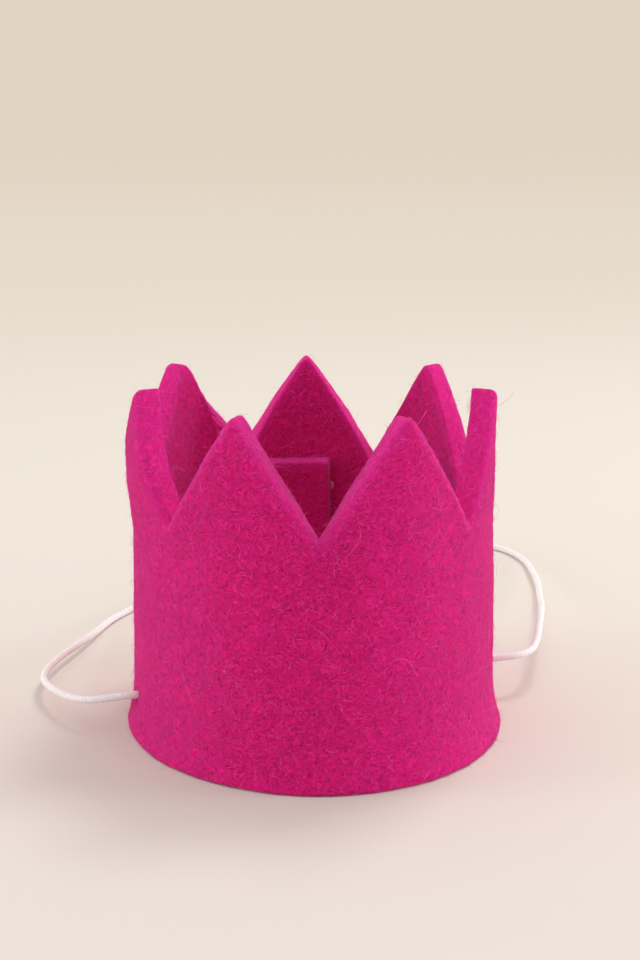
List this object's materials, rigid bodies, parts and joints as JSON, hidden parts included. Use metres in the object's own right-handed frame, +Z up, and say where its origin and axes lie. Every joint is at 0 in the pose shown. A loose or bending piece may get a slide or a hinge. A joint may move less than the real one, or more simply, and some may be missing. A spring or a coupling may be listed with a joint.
{
  "type": "felt crown",
  "caption": "Small open crown of thick magenta felt with pointed top, lapped at the back, on a thin white elastic loop.",
  "frame": {"origin": "on the table at the middle of the crown's ring", "axes": "+Z up, -Y towards the front valley, +X to the right as seen from the front; the lap is at the back"},
  "size_m": [0.1164, 0.1575, 0.0678],
  "materials": {
    "felt": "thick pressed wool felt, matte, with short loose fibres",
    "glue": "clear to greyish hot-melt glue",
    "elastic": "white braided cover over a rubber core"
  },
  "bodies": {
    "root": {"felt_band": "felt", "seam_glue": "glue", "elastic_cord": "elastic", "left_knot": "elastic", "right_knot": "elastic"}
  },
  "joints": []
}
